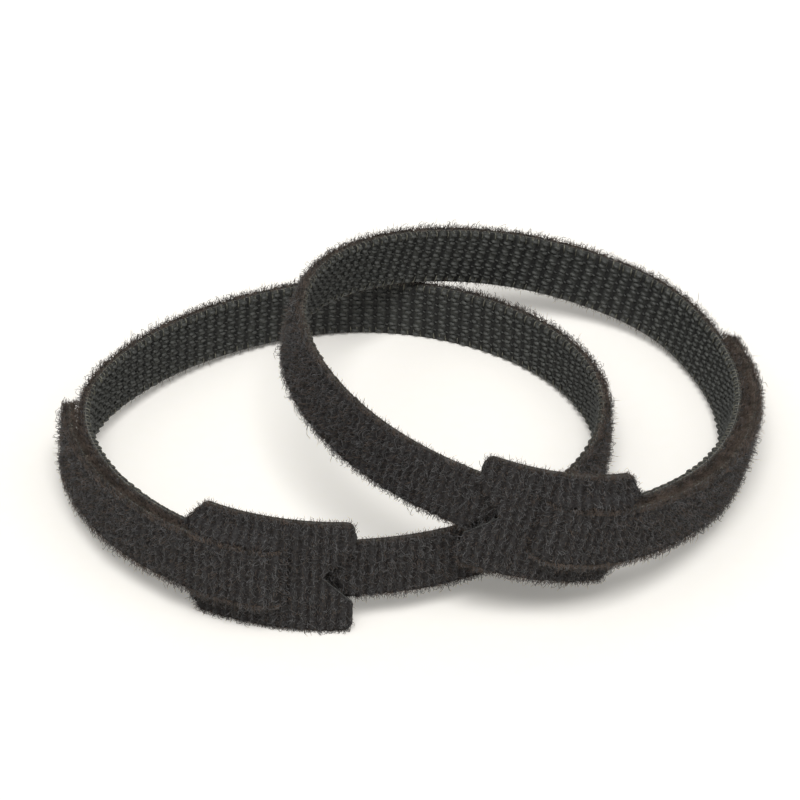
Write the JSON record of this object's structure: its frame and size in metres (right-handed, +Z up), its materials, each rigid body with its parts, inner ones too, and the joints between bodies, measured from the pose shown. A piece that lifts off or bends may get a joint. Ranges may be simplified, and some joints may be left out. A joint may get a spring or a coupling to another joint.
{
  "type": "hook-and-loop tie pair",
  "caption": "Slotted back-to-back hook-and-loop straps, each threaded through its own head and closed into a ring, one lying on the other.",
  "frame": {"origin": "centre of the bounding box in plan, on the surface that the ties stand on", "axes": "+Z up, +X to the right from the lower loop's head side towards the upper loop, +Y to the back"},
  "size_m": [0.1182, 0.1014, 0.0309],
  "materials": {
    "pile": "napped nylon loop pile, dull with a soft sheen",
    "loop_cloth": "knitted nylon ground cloth, dull",
    "film": "laminating film, satin",
    "hook_cloth": "tightly woven nylon ground cloth, dull",
    "hooks": "nylon monofilament hooks, satin"
  },
  "bodies": {
    "lower_tie": {"lower_pile": "pile", "lower_loop_cloth": "loop_cloth", "lower_film": "film", "lower_hook_cloth": "hook_cloth", "lower_hooks": "hooks"},
    "lower_tail_1": {"lower_tail_1_pile": "pile", "lower_tail_1_loop_cloth": "loop_cloth", "lower_tail_1_film": "film", "lower_tail_1_hook_cloth": "hook_cloth", "lower_tail_1_hooks": "hooks"},
    "lower_tail_2": {"lower_tail_2_pile": "pile", "lower_tail_2_loop_cloth": "loop_cloth", "lower_tail_2_film": "film", "lower_tail_2_hook_cloth": "hook_cloth", "lower_tail_2_hooks": "hooks"},
    "lower_tail_3": {"lower_tail_3_pile": "pile", "lower_tail_3_loop_cloth": "loop_cloth", "lower_tail_3_film": "film", "lower_tail_3_hook_cloth": "hook_cloth", "lower_tail_3_hooks": "hooks"},
    "upper_tie": {"upper_pile": "pile", "upper_loop_cloth": "loop_cloth", "upper_film": "film", "upper_hook_cloth": "hook_cloth", "upper_hooks": "hooks"},
    "upper_tail_1": {"upper_tail_1_pile": "pile", "upper_tail_1_loop_cloth": "loop_cloth", "upper_tail_1_film": "film", "upper_tail_1_hook_cloth": "hook_cloth", "upper_tail_1_hooks": "hooks"},
    "upper_tail_2": {"upper_tail_2_pile": "pile", "upper_tail_2_loop_cloth": "loop_cloth", "upper_tail_2_film": "film", "upper_tail_2_hook_cloth": "hook_cloth", "upper_tail_2_hooks": "hooks"},
    "upper_tail_3": {"upper_tail_3_pile": "pile", "upper_tail_3_loop_cloth": "loop_cloth", "upper_tail_3_film": "film", "upper_tail_3_hook_cloth": "hook_cloth", "upper_tail_3_hooks": "hooks"}
  },
  "joints": [
    {"name": "upper_tie_lift", "type": "slide", "parent": "lower_tie", "child": "upper_tie", "axis": [0, 0, 1], "range_m": [0, 0.04]},
    {"name": "lower_tail_peel", "type": "hinge", "parent": "lower_tie", "child": "lower_tail_1", "pos_m": [-0.03972, -0.04293, 0.01031], "axis": [0.0158, 0.0538, 0.9984], "range_deg": [0, 40]},
    {"name": "lower_tail_curl_2", "type": "hinge", "parent": "lower_tail_1", "child": "lower_tail_2", "pos_m": [-0.05068, -0.03102, 0.00984], "axis": [0.0158, 0.0538, 0.9984], "range_deg": [0, 40]},
    {"name": "lower_tail_curl_3", "type": "hinge", "parent": "lower_tail_2", "child": "lower_tail_3", "pos_m": [-0.05746, -0.01623, 0.00915], "axis": [0.0158, 0.0538, 0.9984], "range_deg": [0, 40]},
    {"name": "upper_tail_peel", "type": "hinge", "parent": "upper_tie", "child": "upper_tail_1", "pos_m": [0.03925, -0.03783, 0.01408], "axis": [-0.2264, -0.0824, -0.9705], "range_deg": [0, 40]},
    {"name": "upper_tail_curl_2", "type": "hinge", "parent": "upper_tail_1", "child": "upper_tail_2", "pos_m": [0.05307, -0.0156, 0.00897], "axis": [-0.2264, -0.0824, -0.9705], "range_deg": [0, 40]},
    {"name": "upper_tail_curl_3", "type": "hinge", "parent": "upper_tail_2", "child": "upper_tail_3", "pos_m": [0.05797, 0.00968, 0.00568], "axis": [-0.2264, -0.0824, -0.9705], "range_deg": [0, 40]}
  ],
  "couplings": [
    {"joint": "lower_tail_curl_2", "follows": "lower_tail_peel", "ratio": 1},
    {"joint": "lower_tail_curl_3", "follows": "lower_tail_peel", "ratio": 1},
    {"joint": "upper_tail_curl_2", "follows": "upper_tail_peel", "ratio": 1},
    {"joint": "upper_tail_curl_3", "follows": "upper_tail_peel", "ratio": 1}
  ]
}
